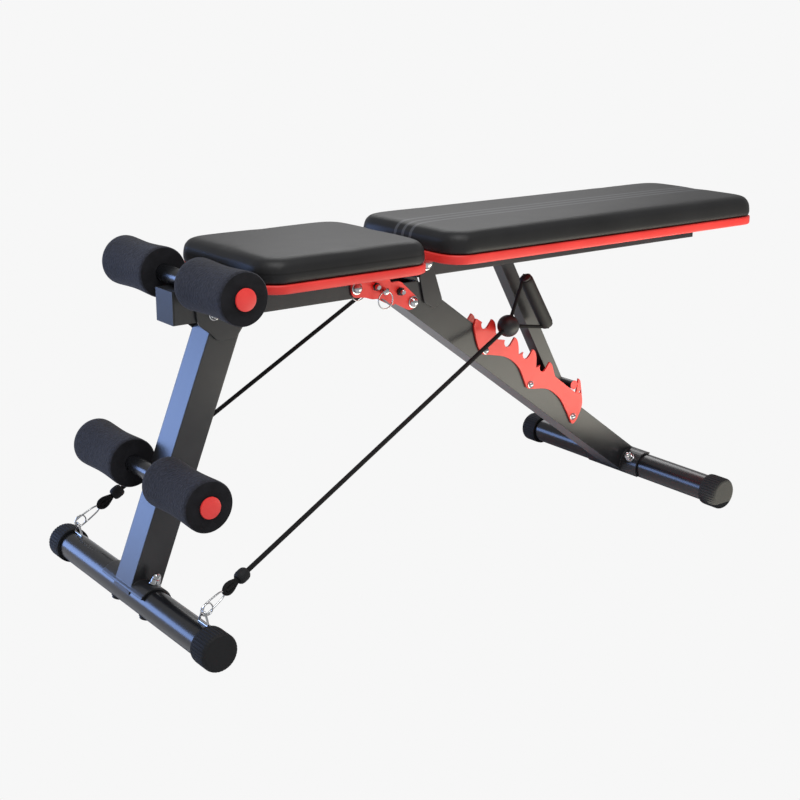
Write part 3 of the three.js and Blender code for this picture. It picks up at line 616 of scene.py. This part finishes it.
# ---- leg rollers ----------------------------------------------------------------------------
def roller(level):
    low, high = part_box(f"{level}_roller_tube")
    centre = Vector(((low.x + high.x) / 2, 0, (low.z + high.z) / 2))
    radius = (high.z - low.z) / 2
    ready(turned(f"{level}_bar", [(0, low.y), (radius, low.y), (radius, high.y), (0, high.y)],
                 centre, (0, 1, 0), ROUND_FRAME, 48),
          "front_frame", "frame_black", f"{level}_roller_tube")
    for side, sign in SIDES:
        foam_low, foam_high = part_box(f"{level}_roller_{side}")
        inner, outer = sorted((abs(foam_low.y), abs(foam_high.y)))
        outer_r = (foam_high.z - foam_low.z) / 2
        profile = [(radius + 0.0004, 0.004), (radius + 0.0004, 0.0), (outer_r - 0.004, 0.0),
                   (outer_r - 0.0014, 0.0006), (outer_r - 0.0002, 0.0022)]
        for i in range(1, 24):
            share = i / 24
            profile.append((outer_r - 0.0019 * math.sin(share * math.pi) ** 1.4,
                            0.0022 + share * (outer - inner - 0.0044)))
        profile += [(r, outer - inner - h) for r, h in reversed(profile[:5])]
        foam = turned(f"{level}_foam_{side}", profile, (centre.x, sign * outer, centre.z), (0, -sign, 0),
                      FOAM_SIDE, 80, 40)
        foam.data.materials.append(FOAM_END)
        for polygon in foam.data.polygons:
            if abs(polygon.normal.y) > 0.8:
                polygon.material_index = 1
        ready(foam, f"{level}_roller_{side}_foam", "foam", f"{level}_roller_{side}")
        plug_low, plug_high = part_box(f"{level}_roller_plug_{side}")
        plug_r = (plug_high.z - plug_low.z) / 2
        face_y = max(abs(plug_low.y), abs(plug_high.y))
        plug = turned(f"{level}_plug_{side}", [
            (0, 0), (plug_r - 0.0012, 0), (plug_r - 0.0003, 0.0003), (plug_r, 0.0010),
            (plug_r, 0.0024), (0.008, 0.0026), (0.008, 0.013), (0, 0.013)],
            (centre.x, sign * face_y, centre.z), (0, -sign, 0), RED_PLUG, 56)
        ready(plug, "front_frame", "red_plastic", f"{level}_roller_plug_{side}")


roller("upper")
roller("lower")


# ---- bolts ----------------------------------------------------------------------------------
def cross_bolt(node, body, radius, washer=True):
    """Replaces a bolt along Y with a domed head and nut on washers."""
    low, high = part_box(node)
    x, z = (low.x + high.x) / 2, (low.z + high.z) / 2
    plate_y = 0.0243
    if node == "strut_bolt":
        plate_y = 0.0213
    shank = turned(f"{node}_shank", [(0, -plate_y), (0.0035, -plate_y), (0.0035, plate_y), (0, plate_y)],
                   (x, 0, z), (0, 1, 0), CHROME, 20)
    ready(shank, body, "chrome", node)
    for side, sign in SIDES:
        bolt_dome(f"{node}_{side}", (x, sign * plate_y, z), (0, sign, 0), radius, body, washer=washer)


for node, body, radius in (
        ("seat_pivot_bolt", "rear_frame", 0.0078), ("knee_bolt_lower", "rear_frame", 0.0078),
        ("backrest_pivot_bolt", "rear_frame", 0.0095), ("gusset_bolt", "front_frame", 0.0072),
        ("ladder_bolt_1", "rear_frame", 0.0052), ("ladder_bolt_2", "rear_frame", 0.0052),
        ("ladder_bolt_3", "rear_frame", 0.0052), ("strut_bolt", "backrest", 0.0060)):
    cross_bolt(node, body, radius)


def stud(name, x, z, sign, body, radius, length, *nodes):
    """A thread end that shows beyond its dark nut."""
    origin = Vector((x, sign * PLATE_FACE, z))
    nut = turned(f"{name}_nut", [(0, 0), (radius * 1.75, 0), (radius * 1.75, 0.0034), (radius * 1.5, 0.004),
                 (0, 0.004)], origin, (0, sign, 0), NUT, 6, 30)
    ready(nut, body, "chrome")
    rod = turned(f"{name}_rod", [
        (0, 0), (radius, 0), (radius, length - 0.0006), (radius - 0.0006, length), (0, length)],
        origin, (0, sign, 0), CHROME, 28)
    ready(rod, body, "chrome", *nodes)


knee_low, knee_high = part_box("knee_bolt_upper")
knee = ((knee_low.x + knee_high.x) / 2, (knee_low.z + knee_high.z) / 2)
pin_at = joint_at("pin_right_pull")
for side, sign in SIDES:
    stud(f"knee_stud_{side}", knee[0], knee[1], sign, "rear_frame", 0.0034, 0.0095,
         *(["knee_bolt_upper"] if sign < 0 else []))
    stud(f"plate_stud_{side}", FRONT_FOOT_X + 0.3605, 0.378, sign, "rear_frame", 0.0034, 0.0095)
    head = turned(f"pin_{side}", [
        (0, -0.003), (0.0038, -0.003), (0.0038, 0.001), (0.0050, 0.0016), (0.0050, 0.0085),
        (0.0036, 0.0100), (0, 0.0104)], (pin_at.x, sign * 0.0248, pin_at.z), (0, sign, 0), CHROME, 28)
    ready(head, f"pin_{side}", "chrome", f"lock_pin_{side}")
    ring_low, ring_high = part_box(f"lock_ring_{side}")
    centre = (ring_low + ring_high) / 2
    radius = (ring_high.x - ring_low.x) / 2 - 0.0011
    circle = [centre + Vector((radius * math.cos(TAU * i / 48), 0, radius * math.sin(TAU * i / 48)))
              for i in range(48)]
    ring = wire(f"pin_ring_{side}", circle, 0.0009, CHROME, closed=True, smooth=False)
    ready(ring, f"ring_{side}", "chrome", f"lock_ring_{side}")

FOOT_NUT_OUT = 0.0233  # from the foot's axis to the acorn nut
FOOT_NUT_UNDER = 0.0192  # and to the nut under the foot
for end, body in (("front", "front_frame"), ("rear", "rear_frame")):
    tube_low, tube_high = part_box(f"{end}_foot_tube")
    centre = Vector(((tube_low.x + tube_high.x) / 2, 0, (tube_low.z + tube_high.z) / 2))
    for side, sign in SIDES:
        low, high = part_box(f"{end}_foot_bolt_{side}")
        lean = Vector((0.3704, 0, 0.9289)) if end == "front" else Vector((-0.8083, 0, 0.5888))
        base = centre + Vector((0, sign * (abs(low.y) + abs(high.y)) / 2, 0)) + lean * FOOT_NUT_OUT
        acorn = turned(f"{end}_acorn_{side}", [
            (0, 0), (0.0082, 0), (0.0082, 0.0014), (0.0066, 0.0016), (0.0066, 0.0062), (0.0058, 0.0068),
            (0.0056, 0.0095), (0.0044, 0.0122), (0.0022, 0.0138), (0, 0.0142)], base, lean, CHROME, 32)
        ready(acorn, body, "chrome", f"{end}_foot_bolt_{side}")
        under = turned(f"{end}_under_{side}", [(0, 0), (0.0074, 0), (0.0074, 0.0010), (0.0060, 0.0012),
                       (0.0060, 0.0036), (0.0048, 0.0044), (0, 0.0046)],
                       base - lean * (FOOT_NUT_OUT + FOOT_NUT_UNDER), -lean, PLASTIC, 28)
        ready(under, body, "black_plastic")

bar = Vector((FRONT_FOOT_X + 0.7425, 0, 0.177))
for side, sign in SIDES:
    plug = turned(f"bar_plug_{side}", [
        (0, -0.0008), (0.0062, -0.0008), (0.0062, 0), (0.0072, 0), (0.0070, 0.0003), (0, 0.0003)],
        (bar.x, sign * 0.0244, bar.z), (0, sign, 0), RED_PLUG, 32)
    ready(plug, "strut", "red_plastic")


# ---- the CAD's own pieces -------------------------------------------------------------------
NODE_FINISH = {"frame_black": FRAME, "plate_red": RED, "board_red": BAND, "cap_rubber": RUBBER,
               "black_plastic": PLASTIC, "red_plastic": RED_PLUG, "foam": FOAM_SIDE, "vinyl": seat_vinyl,
               "chrome": CHROME, "cord": BRAID}
SLOTS = {part["node"]: part["material_slot"] for part in record["subparts"]}
for node, thing in frame["nodes"].items():
    thing.data.materials.clear()
    thing.data.materials.append(NODE_FINISH[SLOTS[node]])
    for polygon in thing.data.polygons:
        polygon.use_smooth = True
    thing.data.set_sharp_from_angle(angle=math.radians(28))


# ---- floor, backdrop and lights --------------------------------------------------------------
WHITE = (0.930, 0.930, 0.930, 1)


def backdrop_material():
    made = bpy.data.materials.new("backdrop")
    made.use_nodes = True
    nodes, links = made.node_tree.nodes, made.node_tree.links
    nodes.clear()
    out = nodes.new("ShaderNodeOutputMaterial")
    mix = nodes.new("ShaderNodeMixShader")
    seen = nodes.new("ShaderNodeLightPath")
    plain = nodes.new("ShaderNodeEmission")
    plain.inputs["Color"].default_value = WHITE
    lit = nodes.new("ShaderNodeBsdfDiffuse")
    lit.inputs["Color"].default_value = (0.8, 0.8, 0.8, 1)
    links.new(seen.outputs["Is Camera Ray"], mix.inputs["Fac"])
    links.new(lit.outputs[0], mix.inputs[1])
    links.new(plain.outputs[0], mix.inputs[2])
    links.new(mix.outputs[0], out.inputs["Surface"])
    return made


floor = mesh_piece("floor", [(-6, -6, -0.0005), (6, -6, -0.0005), (6, 6, -0.0005), (-6, 6, -0.0005)],
                   [(0, 1, 2, 3)], backdrop_material())

world = bpy.data.worlds.new("world")
bpy.context.scene.world = world
world.use_nodes = True
world_nodes, world_links = world.node_tree.nodes, world.node_tree.links
sky = world_nodes["Background"]
sky.inputs["Color"].default_value = WHITE
path = world_nodes.new("ShaderNodeLightPath")
level = world_nodes.new("ShaderNodeMapRange")
level.inputs["To Min"].default_value = 0.42
level.inputs["To Max"].default_value = 1.0
world_links.new(path.outputs["Is Camera Ray"], level.inputs["Value"])
world_links.new(level.outputs["Result"], sky.inputs["Strength"])


def panel(name, place, target, size, power, colour=(1, 1, 1)):
    data = bpy.data.lights.new(name, "AREA")
    data.shape = "RECTANGLE"
    data.size, data.size_y = size
    data.energy = power
    data.color = colour
    lamp = linked(name, data)
    lamp.location = place
    lamp.rotation_euler = (Vector(target) - Vector(place)).to_track_quat("-Z", "Y").to_euler()
    lamp.visible_camera = False


panel("key", (-0.6, -0.9, 2.4), (0, 0, 0.3), (1.6, 1.2), 34)
panel("blue", (-1.9, 2.1, 0.4), (-0.4, 0, 0.25), (1.6, 1.0), 34, (0.30, 0.48, 1.0))
panel("olive", (0.55, -0.55, 0.01), (0.55, -0.55, 1.0), (1.0, 0.7), 8, (1.0, 0.95, 0.78))
panel("back", (1.4, 1.8, 1.8), (0, 0, 0.4), (1.4, 1.0), 12)

bpy.context.scene.view_settings.view_transform = "Standard"
